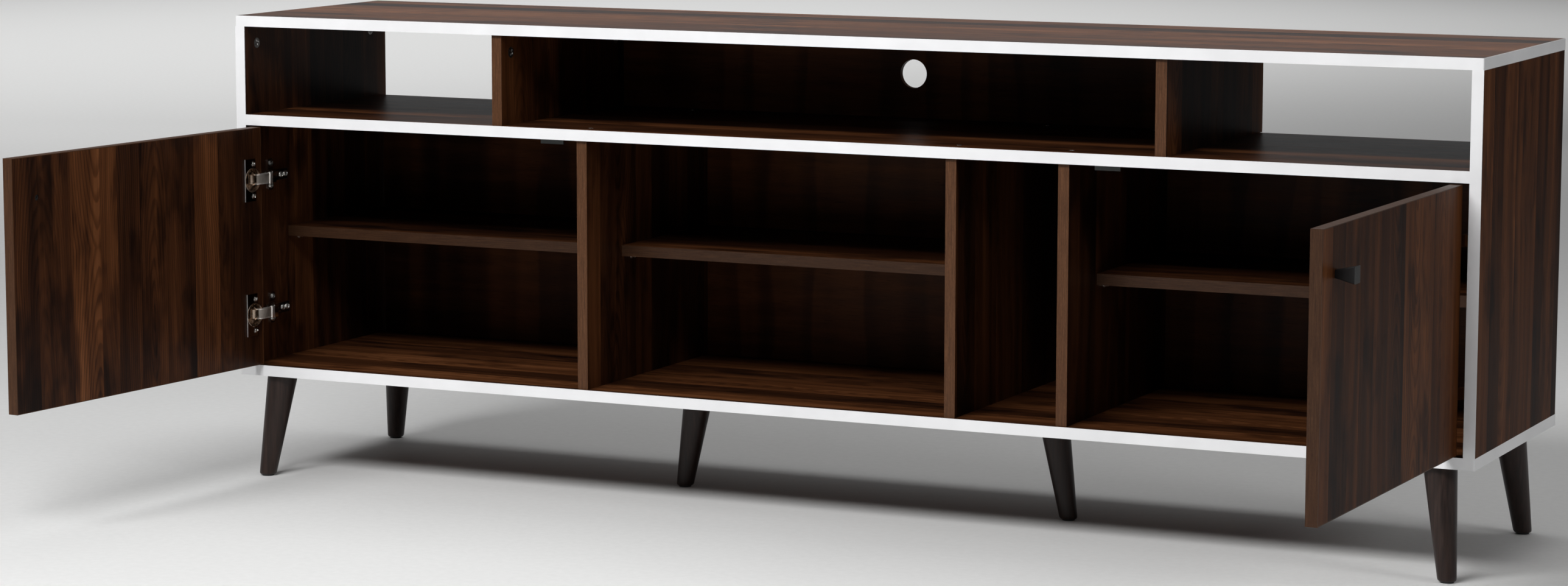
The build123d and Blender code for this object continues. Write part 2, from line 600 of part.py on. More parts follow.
for side in ("left", "right"):
    base = door_base(side)
    turn = hand(side)
    outward = (0, -turn, 0)
    through = across(side, OUTER_FACE, INNER_FACE)
    cup_faces = [(CUP_U, turn * INNER_FACE, hinge_z) for hinge_z in HINGE_Z]
    screw_rises = (-CUP_SCREW_SPAN / 2, CUP_SCREW_SPAN / 2)
    knob_face = (KNOB_U, turn * INNER_FACE, KNOB_Z)
    with BuildPart() as door:
        block((HINGE_EDGE + BAND, FREE_EDGE - BAND), through, (DOOR_LOW + BAND, DOOR_HIGH - BAND),
              base=base)
        for cup_face in cup_faces:
            rod(cup_face, outward, CUP_R + FIT, CUP_DEEP + FIT, Mode.SUBTRACT, base)
            for rise in screw_rises:
                rod((CUP_SCREW_U, turn * INNER_FACE, cup_face[2] + rise), outward, CUP_SCREW_R + FIT,
                    CUP_SCREW_LONG, Mode.SUBTRACT, base)
        rod(knob_face, outward, KNOB_SCREW_HEAD_R + FIT, KNOB_SCREW_RECESS, Mode.SUBTRACT, base)
        rod(knob_face, outward, KNOB_SCREW_R + FIT, BOARD, Mode.SUBTRACT, base)
    save(f"{side}_door", door)

    with BuildPart() as door_edging:
        block((HINGE_EDGE, FREE_EDGE), through, (DOOR_LOW, DOOR_HIGH), base=base)
        block((HINGE_EDGE + BAND, FREE_EDGE - BAND), through, (DOOR_LOW + BAND, DOOR_HIGH - BAND),
              Mode.SUBTRACT, base)
    save(f"{side}_door_edging", door_edging)

    with BuildPart() as hinge_cups:
        for cup_face in cup_faces:
            rod(cup_face, outward, CUP_R, CUP_DEEP, base=base)
            flange_face = (FLANGE_U, cup_face[1], cup_face[2])
            plate(flange_face, RIGHTWARD, (0, turn, 0), FLANGE_WIDE, FLANGE_LONG, FLANGE_THICK, base)
            lip = (CUP_U, turn * (INNER_FACE + FLANGE_THICK), cup_face[2])
            rod(lip, outward, CUP_R - CUP_WALL, FLANGE_THICK + CUP_DEEP - CUP_WALL, Mode.SUBTRACT, base)
            for rise in screw_rises:
                rod((CUP_SCREW_U, lip[1], lip[2] + rise), outward, CUP_SCREW_R + FIT, FLANGE_THICK,
                    Mode.SUBTRACT, base)
    save(f"{side}_hinge_cups", hinge_cups)

    with BuildPart() as cup_screws:
        proud = turn * (INNER_FACE + FLANGE_THICK + CUP_SCREW_HEAD)
        for hinge_z in HINGE_Z:
            for rise in screw_rises:
                screw((CUP_SCREW_U, proud, hinge_z + rise), outward, CUP_SCREW_HEAD_R, CUP_SCREW_HEAD,
                      CUP_SCREW_R, CUP_SCREW_LONG, base)
    save(f"{side}_hinge_cup_screws", cup_screws)

    with BuildPart() as knob:
        for reach, width in ((0, KNOB_BASE), (KNOB_LONG, KNOB_FACE)):
            at = (KNOB_U, turn * (OUTER_FACE - reach), KNOB_Z)
            with BuildSketch(Plane(base * Plane(origin=at, x_dir=RIGHTWARD, z_dir=outward))):
                RectangleRounded(width, width, KNOB_EDGE)
        loft()
        rod((KNOB_U, turn * OUTER_FACE, KNOB_Z), outward, KNOB_SCREW_R + FIT, KNOB_SCREW_IN_KNOB + FIT,
            Mode.SUBTRACT, base)
    save(f"{side}_knob", knob)

    with BuildPart() as knob_screw:
        head_low = turn * (INNER_FACE - KNOB_SCREW_RECESS + KNOB_SCREW_HEAD)
        shank = BOARD - KNOB_SCREW_RECESS + KNOB_SCREW_IN_KNOB
        screw((KNOB_U, head_low, KNOB_Z), outward, KNOB_SCREW_HEAD_R, KNOB_SCREW_HEAD, KNOB_SCREW_R,
              shank, base)
    save(f"{side}_knob_screw", knob_screw)

# ---- Hinge arms on their mounting plates, left side drawn and mirrored to the right ----
SIDE_FACE = -INNER_END


def hinge_point(out, back):
    """Point of the hinge's plan, out from the side panel's inner face and back from the cabinet's front."""
    return SIDE_FACE + out, FRONT + back


def plan_prism(points, half_height, middle_z, mode=Mode.ADD):
    """Add or cut a prism whose plan outline is given and whose height is centred on middle_z."""
    with BuildSketch(Plane.XY.offset(middle_z - half_height)) as plan:
        with BuildLine():
            Polyline(*[hinge_point(*point) for point in points], close=True)
        make_face()
    extrude(plan.sketch, amount=2 * half_height, mode=mode)


with BuildPart() as hinge_arms:
    for hinge_z in HINGE_Z:
        plan_prism(ARM_OUTLINE, ARM_WIDE / 2, hinge_z)
        plan_prism(ARM_HOLLOW, ARM_WIDE / 2 - ARM_SHEET, hinge_z, Mode.SUBTRACT)
        for back in ARM_SCREWS_FROM_FRONT:
            rod((*hinge_point(ARM_TOP, back), hinge_z), LEFTWARD, ARM_SCREW_R + FIT, ARM_TOP, Mode.SUBTRACT)
    mirror(about=Plane.YZ)
save("hinge_arms", hinge_arms)

with BuildPart() as hinge_mounting_plates:
    for hinge_z in HINGE_Z:
        wing_middle = (*hinge_point(0, WING_FROM_FRONT), hinge_z)
        plate(wing_middle, BACKWARD, RIGHTWARD, WING_WIDE, WING_LONG, WING_THICK)
        plan_prism(RAIL_OUTLINE, RAIL_WIDE / 2, hinge_z)
        for rise in (-PLATE_SCREW_SPAN / 2, PLATE_SCREW_SPAN / 2):
            rod((*hinge_point(0, WING_FROM_FRONT), hinge_z + rise), RIGHTWARD, PLATE_SCREW_R + FIT,
                WING_THICK, Mode.SUBTRACT)
        for back in ARM_SCREWS_FROM_FRONT:
            rod((*hinge_point(ARM_TOP, back), hinge_z), LEFTWARD, ARM_SCREW_R + FIT, ARM_SCREW_LONG + FIT,
                Mode.SUBTRACT)
    mirror(about=Plane.YZ)
save("hinge_mounting_plates", hinge_mounting_plates)

with BuildPart() as hinge_plate_screws:
    for hinge_z in HINGE_Z:
        for rise in (-PLATE_SCREW_SPAN / 2, PLATE_SCREW_SPAN / 2):
            screw((*hinge_point(WING_THICK + PLATE_SCREW_HEAD, WING_FROM_FRONT), hinge_z + rise), LEFTWARD,
                  PLATE_SCREW_HEAD_R, PLATE_SCREW_HEAD, PLATE_SCREW_R, PLATE_SCREW_LONG)
    mirror(about=Plane.YZ)
save("hinge_plate_screws", hinge_plate_screws)

with BuildPart() as hinge_arm_screws:
    for hinge_z in HINGE_Z:
        for back in ARM_SCREWS_FROM_FRONT:
            screw((*hinge_point(ARM_TOP + ARM_SCREW_HEAD, back), hinge_z), LEFTWARD, ARM_SCREW_HEAD_R,
                  ARM_SCREW_HEAD, ARM_SCREW_R, ARM_SCREW_LONG)
    mirror(about=Plane.YZ)
save("hinge_arm_screws", hinge_arm_screws)

# ---- Door stops under the middle shelf: a foot screwed to the shelf and a lip behind the shut door ----
with BuildPart() as door_stops:
    for stop_x in (-STOP_X, STOP_X):
        stop_span = (stop_x - STOP_WIDE / 2, stop_x + STOP_WIDE / 2)
        block(stop_span, (STOP_FRONT, STOP_FRONT + STOP_LIP), (SHELF_Z - STOP_LIP_HIGH, SHELF_Z))
        block(stop_span, (STOP_FRONT + STOP_LIP, STOP_FRONT + STOP_LIP + STOP_FOOT_DEEP),
              (SHELF_Z - STOP_FOOT, SHELF_Z))
    for screw_x, screw_y in STOP_SCREWS:
        rod((screw_x, screw_y, SHELF_Z), DOWN, SMALL_SCREW_R + FIT, STOP_FOOT, Mode.SUBTRACT)
save("door_stops", door_stops)

with BuildPart() as door_stop_screws:
    for screw_x, screw_y in STOP_SCREWS:
        screw((screw_x, screw_y, SHELF_Z - STOP_FOOT - SMALL_SCREW_HEAD), UP, SMALL_SCREW_HEAD_R,
              SMALL_SCREW_HEAD, SMALL_SCREW_R, SMALL_SCREW_LONG)
save("door_stop_screws", door_stop_screws)
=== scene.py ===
"""Looks for the low television cabinet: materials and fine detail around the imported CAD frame. Metres."""
import json
from math import acos, atan2, cos, pi, radians, sin, tau

import bmesh
import bpy
from mathutils import Matrix, Vector
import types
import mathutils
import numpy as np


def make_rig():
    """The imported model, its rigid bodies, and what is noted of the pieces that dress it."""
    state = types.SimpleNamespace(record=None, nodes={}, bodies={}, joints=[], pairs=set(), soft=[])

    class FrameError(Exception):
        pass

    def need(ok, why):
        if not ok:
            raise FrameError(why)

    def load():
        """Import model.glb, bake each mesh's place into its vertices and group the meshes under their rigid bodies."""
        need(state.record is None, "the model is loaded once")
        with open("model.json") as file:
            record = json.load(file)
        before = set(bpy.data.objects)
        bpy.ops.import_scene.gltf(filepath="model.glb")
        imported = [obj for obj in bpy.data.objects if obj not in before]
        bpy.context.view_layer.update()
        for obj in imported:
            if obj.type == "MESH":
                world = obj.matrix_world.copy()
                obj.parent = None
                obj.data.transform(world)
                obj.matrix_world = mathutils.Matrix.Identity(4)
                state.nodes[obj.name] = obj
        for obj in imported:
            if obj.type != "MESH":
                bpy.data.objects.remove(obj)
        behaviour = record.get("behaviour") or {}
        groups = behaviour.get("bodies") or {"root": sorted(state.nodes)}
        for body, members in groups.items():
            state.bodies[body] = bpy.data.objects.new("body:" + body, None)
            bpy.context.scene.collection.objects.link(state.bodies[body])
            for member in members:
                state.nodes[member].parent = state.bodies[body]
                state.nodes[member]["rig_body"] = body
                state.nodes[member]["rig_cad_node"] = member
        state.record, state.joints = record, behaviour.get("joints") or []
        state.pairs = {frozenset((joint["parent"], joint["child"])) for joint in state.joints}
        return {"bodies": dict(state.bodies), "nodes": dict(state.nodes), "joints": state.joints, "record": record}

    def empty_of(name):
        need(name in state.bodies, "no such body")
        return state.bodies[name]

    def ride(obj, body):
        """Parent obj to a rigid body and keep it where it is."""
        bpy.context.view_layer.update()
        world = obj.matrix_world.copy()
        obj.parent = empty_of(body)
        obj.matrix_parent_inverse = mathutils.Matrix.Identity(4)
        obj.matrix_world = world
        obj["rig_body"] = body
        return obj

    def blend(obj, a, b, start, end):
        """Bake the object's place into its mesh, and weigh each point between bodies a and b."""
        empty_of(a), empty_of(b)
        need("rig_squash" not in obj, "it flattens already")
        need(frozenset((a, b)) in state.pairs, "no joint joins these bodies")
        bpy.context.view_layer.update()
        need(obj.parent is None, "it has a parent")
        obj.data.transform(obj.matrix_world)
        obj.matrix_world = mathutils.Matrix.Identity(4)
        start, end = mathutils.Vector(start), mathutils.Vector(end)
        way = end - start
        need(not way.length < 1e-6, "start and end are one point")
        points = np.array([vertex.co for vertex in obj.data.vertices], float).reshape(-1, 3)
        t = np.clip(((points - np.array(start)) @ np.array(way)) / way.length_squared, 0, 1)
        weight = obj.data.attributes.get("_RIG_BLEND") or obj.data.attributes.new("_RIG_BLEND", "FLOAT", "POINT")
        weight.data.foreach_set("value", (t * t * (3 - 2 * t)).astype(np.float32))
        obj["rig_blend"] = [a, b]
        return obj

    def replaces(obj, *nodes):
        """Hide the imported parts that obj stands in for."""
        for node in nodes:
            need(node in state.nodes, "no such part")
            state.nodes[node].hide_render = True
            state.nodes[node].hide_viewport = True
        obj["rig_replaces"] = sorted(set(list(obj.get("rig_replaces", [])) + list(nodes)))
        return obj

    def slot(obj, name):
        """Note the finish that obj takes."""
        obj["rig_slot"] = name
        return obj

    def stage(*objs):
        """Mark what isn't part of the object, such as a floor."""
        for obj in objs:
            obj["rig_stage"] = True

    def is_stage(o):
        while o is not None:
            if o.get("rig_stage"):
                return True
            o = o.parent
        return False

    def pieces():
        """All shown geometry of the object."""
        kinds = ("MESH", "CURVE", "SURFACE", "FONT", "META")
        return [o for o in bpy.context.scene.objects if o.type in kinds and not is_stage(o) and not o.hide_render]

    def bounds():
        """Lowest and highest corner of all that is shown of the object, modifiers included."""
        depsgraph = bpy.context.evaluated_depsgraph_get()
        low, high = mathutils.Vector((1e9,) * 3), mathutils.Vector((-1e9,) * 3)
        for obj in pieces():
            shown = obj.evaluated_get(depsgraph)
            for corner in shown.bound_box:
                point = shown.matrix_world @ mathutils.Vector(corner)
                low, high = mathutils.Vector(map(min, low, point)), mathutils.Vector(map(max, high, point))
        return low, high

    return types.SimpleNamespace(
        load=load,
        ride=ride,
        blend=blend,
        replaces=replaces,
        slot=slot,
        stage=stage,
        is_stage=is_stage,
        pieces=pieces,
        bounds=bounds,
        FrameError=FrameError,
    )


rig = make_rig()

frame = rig.load()
cad_low, cad_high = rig.bounds()
nodes = frame["nodes"]
MM = 0.001
SIDES = ("left", "right")


# ---------------------------------------------------------------- node helpers
class Graph:
    """A material's node tree, with short calls for the nodes used here."""

    def __init__(self, name):
        self.material = bpy.data.materials.new(name)
        self.material.use_nodes = True
        self.tree = self.material.node_tree
        self.shader = self.tree.nodes["Principled BSDF"]
        coordinates = self.tree.nodes.new("ShaderNodeTexCoord")
        self.place = coordinates.outputs["Object"]
        self.normal = coordinates.outputs["Normal"]

    def feed(self, value, socket):
        """Put a number, a colour or another node's output into a socket."""
        if isinstance(value, bpy.types.NodeSocket):
            self.tree.links.new(value, socket)
        elif isinstance(value, (tuple, list)) and len(value) == 3 and socket.type == "RGBA":
            socket.default_value = (*value, 1)
        else:
            socket.default_value = value

    def math(self, operation, a, b=0.0):
        node = self.tree.nodes.new("ShaderNodeMath")
        node.operation = operation
        self.feed(a, node.inputs[0])
        self.feed(b, node.inputs[1])
        return node.outputs[0]

    def add(self, a, b):
        return self.math("ADD", a, b)

    def times(self, a, b):
        return self.math("MULTIPLY", a, b)

    def swing(self, value, size):
        """A 0..1 value turned into -size/2..size/2."""
        return self.times(self.math("SUBTRACT", value, 0.5), size)

    def split(self, vector):
        node = self.tree.nodes.new("ShaderNodeSeparateXYZ")
        self.feed(vector, node.inputs[0])
        return node.outputs[0], node.outputs[1], node.outputs[2]

    def join(self, x, y, z):
        node = self.tree.nodes.new("ShaderNodeCombineXYZ")
        for value, socket in zip((x, y, z), node.inputs):
            self.feed(value, socket)
        return node.outputs[0]

    def noise(self, vector, scale, detail=3.0, roughness=0.55):
        node = self.tree.nodes.new("ShaderNodeTexNoise")
        self.feed(vector, node.inputs["Vector"])
        node.inputs["Scale"].default_value = scale
        node.inputs["Detail"].default_value = detail
        node.inputs["Roughness"].default_value = roughness
        return node.outputs["Fac"]

    def stretch(self, value, low, high, to_low=0.0, to_high=1.0):
        """Map a range smoothly onto another, clamped."""
        node = self.tree.nodes.new("ShaderNodeMapRange")
        node.interpolation_type = "SMOOTHSTEP"
        for number, socket in zip((value, low, high, to_low, to_high), node.inputs):
            self.feed(number, socket)
        return node.outputs[0]

    def mix(self, factor, a, b):
        node = self.tree.nodes.new("ShaderNodeMix")
        node.data_type = "RGBA"
        factor_socket, colours = node.inputs[0], [s for s in node.inputs if s.type == "RGBA"]
        self.feed(factor, factor_socket)
        self.feed(a, colours[0])
        self.feed(b, colours[1])
        return [s for s in node.outputs if s.type == "RGBA"][0]

    def ramp(self, factor, stops):
        node = self.tree.nodes.new("ShaderNodeValToRGB")
        self.feed(factor, node.inputs[0])
        elements = node.color_ramp.elements
        while len(elements) < len(stops):
            elements.new(0.5)
        for element, (position, colour) in zip(elements, stops):
            element.position = position
            element.color = (*colour, 1)
        return node.outputs[0]

    def bump(self, height, strength, distance=0.001):
        node = self.tree.nodes.new("ShaderNodeBump")
        node.inputs["Strength"].default_value = strength
        node.inputs["Distance"].default_value = distance
        self.feed(height, node.inputs["Height"])
        self.feed(node.outputs[0], self.shader.inputs["Normal"])

    def set(self, **sockets):
        for name, value in sockets.items():
            self.feed(value, self.shader.inputs[name.replace("_", " ")])
        return self.material


# ---------------------------------------------------------------- walnut laminate
PLANK = 0.052
WALNUT_TONES = ((0.05, (0.0060, 0.0022, 0.0012)), (0.28, (0.0170, 0.0058, 0.0025)),
                (0.50, (0.0400, 0.0135, 0.0050)), (0.74, (0.0900, 0.0310, 0.0105)),
                (1.00, (0.1900, 0.0720, 0.0270)))
CHIPBOARD = (0.30, 0.19, 0.10)


def scaled(colour, factor):
    return tuple(factor * c for c in colour)


def walnut_figure(graph, grain, seed):
    """Walnut's tone from 0 (darkest) to 1 (lightest), with planks, cathedrals, streaks, smoke and pores."""
    x, y, z = graph.split(graph.place)
    along, depth = (z, x) if grain == "Z" else (x, z)
    across = graph.add(y, seed * 1.37)
    along = graph.add(along, seed * 0.73)
    cell = graph.tree.nodes.new("ShaderNodeTexVoronoi")
    cell.voronoi_dimensions = "1D"
    cell.inputs["Scale"].default_value = 1.0
    cell.inputs["Randomness"].default_value = 0.85
    graph.feed(graph.math("DIVIDE", across, PLANK), cell.inputs["W"])
    tone, shift, kind = graph.split(cell.outputs["Color"])
    off_middle = graph.math("SUBTRACT", across, graph.times(cell.outputs["W"], PLANK))

    # Growth rings: nested arches where the plank holds the log's heart, near-straight pinstripes elsewhere
    waver = graph.noise(graph.join(across, 0.0, along), 2.6, 2.0)
    plank_along = graph.add(along, graph.times(shift, 9.0))
    wander = graph.noise(graph.join(graph.times(shift, 30.0), 0.0, graph.times(plank_along, 2.2)), 1.0, 2.0)
    heart = graph.swing(kind, 0.16)
    side_pull = graph.add(graph.add(off_middle, heart), graph.swing(wander, 0.055))
    rise = graph.times(graph.math("PINGPONG", graph.add(plank_along, kind), 0.33), 0.115)
    radius = graph.math("SQRT", graph.add(graph.times(side_pull, side_pull), graph.times(rise, rise)))
    drift = graph.noise(graph.join(graph.times(across, 16.0), depth, graph.times(plank_along, 3.0)), 1.0, 3.0)
    ring_saw = graph.math("FRACT", graph.add(graph.times(radius, 240.0), graph.times(drift, 3.2)))
    ring_lines = graph.math("SUBTRACT", graph.stretch(ring_saw, 0.40, 0.82),
                            graph.stretch(ring_saw, 0.88, 1.0))

    streaks = graph.noise(graph.join(graph.add(graph.times(across, 40.0), graph.times(waver, 2.0)),
                                     graph.times(shift, 40.0), graph.times(plank_along, 1.4)), 1.0, 4.0, 0.6)
    lines = graph.noise(graph.join(graph.times(across, 480.0), graph.times(depth, 60.0),
                                   graph.times(plank_along, 7.0)), 1.0, 3.0, 0.65)
    smoke = graph.noise(graph.join(graph.times(across, 19.0), graph.times(shift, 25.0),
                                   graph.times(plank_along, 6.5)), 1.0, 3.0, 0.6)
    pores = graph.noise(graph.join(graph.times(across, 1500.0), graph.times(depth, 900.0),
                                   graph.times(along, 45.0)), 1.0, 2.0, 0.5)

    value = graph.add(0.575, graph.swing(tone, 0.46))
    value = graph.add(value, graph.swing(streaks, 1.02))
    value = graph.math("SUBTRACT", value, graph.times(ring_lines, graph.stretch(shift, 0.1, 0.9, 0.08, 0.18)))
    value = graph.add(value, graph.swing(lines, 0.42))
    value = graph.math("SUBTRACT", value, graph.times(graph.stretch(smoke, 0.50, 0.74), 0.34))
    pore_mark = graph.stretch(pores, 0.60, 0.72)
    return graph.math("SUBTRACT", value, graph.times(pore_mark, 0.14)), lines, pore_mark


def walnut(name, grain, seed, tone_and_painted_light, gloss, raw_back=True):
    """Satin walnut laminate; faces that look to the back of the cabinet show the raw chipboard core."""
    graph = Graph(name)
    value, lines, pore_mark = walnut_figure(graph, grain, seed)
    colour = graph.ramp(value, [(p, scaled(c, tone_and_painted_light)) for p, c in WALNUT_TONES])
    if raw_back:
        chips = graph.noise(graph.place, 420.0, 4.0, 0.7)
        raw = graph.ramp(chips, [(0.3, scaled(CHIPBOARD, 0.55)), (0.7, CHIPBOARD)])
        facing_back = graph.stretch(graph.split(graph.normal)[1], 0.85, 0.95)
        colour = graph.mix(facing_back, colour, raw)
    rough = graph.stretch(graph.add(lines, graph.times(pore_mark, 0.4)), 0.2, 1.1, 0.34, 0.48)
    graph.bump(graph.math("SUBTRACT", lines, pore_mark), 0.10, 0.0004)
    return graph.set(Base_Color=colour, Roughness=rough, Specular_IOR_Level=gloss)


def walnut_band(name, grain, seed, tone_and_painted_light):
    """Walnut-printed plastic edge band: fine short grain, no planks."""
    graph = Graph(name)
    x, y, z = graph.split(graph.place)
    along, side = (z, x) if grain == "Z" else (x, z)
    side = graph.add(side, y)
    shifted = graph.add(along, seed)
    long_grain = graph.noise(graph.join(graph.times(side, 700.0), 0.0, graph.times(shifted, 26.0)),
                             1.0, 4.0, 0.7)
    flecks = graph.noise(graph.join(graph.times(side, 1900.0), seed, graph.times(along, 240.0)), 1.0, 2.0)
    tone = graph.add(graph.times(long_grain, 0.7), graph.times(flecks, 0.3))
    colour = graph.ramp(tone, [(0.30, scaled((0.030, 0.0113, 0.0045), tone_and_painted_light)),
                               (0.52, scaled((0.076, 0.031, 0.0125), tone_and_painted_light)),
                               (0.72, scaled((0.140, 0.063, 0.028), tone_and_painted_light))])
    graph.bump(tone, 0.12, 0.0003)
    return graph.set(Base_Color=colour, Roughness=graph.stretch(flecks, 0.3, 0.7, 0.38, 0.48),
                     Specular_IOR_Level=0.2)


# ---------------------------------------------------------------- other materials
def white_plastic():
    """White edge band with a faint orange peel."""
    graph = Graph("white_edge_band")
    peel = graph.noise(graph.place, 900.0, 2.0)
    haze = graph.noise(graph.place, 14.0, 3.0)
    colour = graph.ramp(haze, [(0.30, (0.71, 0.71, 0.72)), (0.70, (0.77, 0.77, 0.78))])
    graph.bump(peel, 0.05, 0.0002)
    return graph.set(Base_Color=colour, Roughness=graph.stretch(haze, 0.3, 0.7, 0.30, 0.40))


def leg_wood():
    """Espresso-stained wood with its fibres along the leg."""
    graph = Graph("espresso_leg_wood")
    x, y, z = graph.split(graph.place)
    fibres = graph.noise(graph.join(graph.times(x, 260.0), graph.times(y, 260.0), graph.times(z, 9.0)),
                         1.0, 4.0, 0.6)
    colour = graph.ramp(fibres, [(0.30, (0.0090, 0.0046, 0.0036)), (0.55, (0.0220, 0.0118, 0.0090)),
                                 (0.78, (0.0420, 0.0240, 0.0185))])
    graph.bump(fibres, 0.12, 0.0004)
    return graph.set(Base_Color=colour, Roughness=graph.stretch(fibres, 0.3, 0.7, 0.34, 0.46),
                     Specular_IOR_Level=0.3)


def metal(name, bright, dark, rough_low, rough_high):
    """Plated metal with stains and fine scratches."""
    graph = Graph(name)
    x, y, z = graph.split(graph.place)
    stains = graph.noise(graph.place, 55.0, 4.0, 0.6)
    scratches = graph.noise(graph.join(graph.times(x, 300.0), graph.times(y, 300.0), graph.times(z, 3000.0)),
                            1.0, 2.0)
    graph.bump(scratches, 0.06, 0.0001)
    wear = graph.add(stains, graph.times(scratches, 0.5))
    return graph.set(Base_Color=graph.ramp(stains, [(0.30, dark), (0.70, bright)]), Metallic=1.0,
                     Roughness=graph.stretch(wear, 0.4, 1.1, rough_low, rough_high))


def coated(name, colour_low, colour_high, rough_low, rough_high, grain=1400.0):
    """Moulded plastic or powder coat: fine grain, and slow changes of tone."""
    graph = Graph(name)
    fine = graph.noise(graph.place, grain, 2.0)
    slow = graph.noise(graph.place, 60.0, 3.0)
    graph.bump(fine, 0.2, 0.0003)
    return graph.set(Base_Color=graph.ramp(slow, [(0.3, colour_low), (0.7, colour_high)]),
                     Roughness=graph.stretch(fine, 0.3, 0.7, rough_low, rough_high))


WHITE = white_plastic()
LEG = leg_wood()
NICKEL = metal("bright_nickel", (0.74, 0.72, 0.69), (0.60, 0.58, 0.55), 0.07, 0.16)
BRUSHED = metal("brushed_nickel", (0.62, 0.57, 0.52), (0.50, 0.46, 0.41), 0.40, 0.55)
# A brighter copy of the nickel, a painted highlight: it stands for the glints and bright edge lines on the shelf pins,
# flange edges, link cheeks and arm noses
HIGHLIGHT_PAINTED_NICKEL = metal("painted_highlight_nickel", (0.98, 0.94, 0.90), (0.92, 0.88, 0.84), 0.34, 0.46)
CUP_NICKEL = metal("aged_cup_nickel", (0.52, 0.42, 0.34), (0.30, 0.22, 0.16), 0.20, 0.34)
# A darker copy of the nickel: painted shade, for the dark look of the mirror-bright flanges
FLANGE_NICKEL_PAINTED_DARK = metal("mirror_flange_nickel_painted_dark", (0.50, 0.49, 0.48), (0.38, 0.37, 0.36), 0.05, 0.12)
ZINC = metal("zinc_plated_steel", (0.66, 0.66, 0.64), (0.46, 0.46, 0.46), 0.22, 0.38)
CAM_ZINC = metal("die_cast_zinc", (0.36, 0.35, 0.34), (0.15, 0.15, 0.15), 0.26, 0.44)
BLACK = coated("matt_black_knob", (0.0045, 0.0045, 0.0050), (0.0080, 0.0080, 0.0085), 0.38, 0.52)
BLACK_STEEL = coated("black_oxide_screw", (0.0030, 0.0030, 0.0032), (0.0060, 0.0060, 0.0062), 0.42, 0.55)
STOP_PLASTIC = coated("grey_stop_plastic", (0.030, 0.034, 0.032), (0.044, 0.049, 0.046), 0.38, 0.50)
BLACK_PLASTIC = coated("black_glide_plastic", (0.010, 0.010, 0.010), (0.018, 0.018, 0.018), 0.45, 0.60)
BEECH = coated("beech_dowel", (0.42, 0.27, 0.15), (0.56, 0.38, 0.22), 0.55, 0.70, 300.0)


# ---------------------------------------------------------------- CAD nodes that stay
def dress(node, material, bevel=0.0, segments=2):
    """Give a CAD node its material, and soften its edges."""
    target = nodes[node]
    target.data.materials.clear()
    target.data.materials.append(material)
    if bevel:
        soften = target.modifiers.new("soft_edges", "BEVEL")
        soften.width = bevel
        soften.segments = segments
        soften.limit_method = "ANGLE"
        soften.angle_limit = radians(40)


UPRIGHT = ["left_side_panel", "right_side_panel", "upper_divider_left", "upper_divider_right",
           "lower_divider_left", "lower_divider_centre", "lower_divider_right", "left_door", "right_door"]
LEVEL = ["top_panel", "bottom_panel", "middle_shelf", "inner_shelf_left", "inner_shelf_centre",
         "inner_shelf_right"]
SOFT = 0.15 * MM

# Boards that differ from the rest: specular level, lightness, and the seed that picks their planks. The lightness is
# partly each board's own tone and partly painted light and shade: the top is made lighter for the light falling on it,
# and the level boards inside the bays darker.
GLOSS = {"top_panel": 0.70, "right_side_panel": 0.015, "right_door": 0.03, "upper_divider_left": 0.03,
         "upper_divider_right": 0.03}
TONE_AND_PAINTED_LIGHT = {"top_panel": 1.3, "left_door": 0.95}
SEEDS = {"left_door": 45.0, "right_door": 20.0, "right_side_panel": 25.0}
for number, node in enumerate(UPRIGHT):
    dress(node, walnut(f"walnut_{node}", "Z", SEEDS.get(node, 1.0 + number), TONE_AND_PAINTED_LIGHT.get(node, 1.0),
                       GLOSS.get(node, 0.12), raw_back=not node.endswith("door")), SOFT)
# Level boards default to a darker tone, partly painted shade for the bays they sit in
for number, node in enumerate(LEVEL):
    dress(node, walnut(f"walnut_{node}", "X", 21.0 + number, TONE_AND_PAINTED_LIGHT.get(node, 0.75),
                       GLOSS.get(node, 0.14)), SOFT)
for node in ("upper_back_panel", "lower_back_panel"):
    dress(node, walnut(f"walnut_{node}", "X", 31.0, 1.35, 0.08, raw_back=False), SOFT)
for node in ("top_panel_edging", "bottom_panel_edging", "left_side_edging", "right_side_edging",
             "middle_shelf_edging"):
    dress(node, WHITE, 0.4 * MM, 3)
# Each band's lightness is partly its own tone and partly painted shade; the inner shelves' fronts, deep in the lower
# bays, are darkest
BANDS = (("divider_edging", "Z", 1.0), ("inner_shelf_edging", "X", 0.42), ("left_door_edging", "Z", 0.7),
         ("right_door_edging", "Z", 0.55))
for number, (node, grain, tone_and_painted_light) in enumerate(BANDS):
    dress(node, walnut_band(f"band_{node}", grain, 3.0 + number, tone_and_painted_light), 0.3 * MM)
dress("leg_glides", BLACK_PLASTIC, 0.4 * MM)
dress("door_stops", STOP_PLASTIC, 0.5 * MM)
dress("dowels", BEECH)
dress("hinge_mounting_plates", NICKEL, 0.3 * MM)
# The shelf pins take the brighter nickel, which paints glints on them
dress("shelf_pins", HIGHLIGHT_PAINTED_NICKEL, 0.3 * MM)
for node in ("leg_insert_nuts", "leg_hanger_bolts", "cam_bolts"):
    dress(node, ZINC)
for side in SIDES:
    dress(f"{side}_knob", BLACK, 0.5 * MM, 3)


# ---------------------------------------------------------------- mesh helpers, in mm from here on
# Direction in plan from each hinge axis to its door's free edge, with the doors open as in the photo
DOOR_TURN = {"left": radians(-95), "right": radians(269)}
HINGE_AXIS_X, INNER_END, FRONT_Y = 881, 885, -192.5
CUP_SEGMENTS = 48
SCREW_SEGMENTS = 32
PEG_SEGMENTS = 20
SEAT_SEGMENTS = 28


def hand(side):
    """1 for the left side and -1 for the right, which mirrors it."""
    return 1 if side == "left" else -1


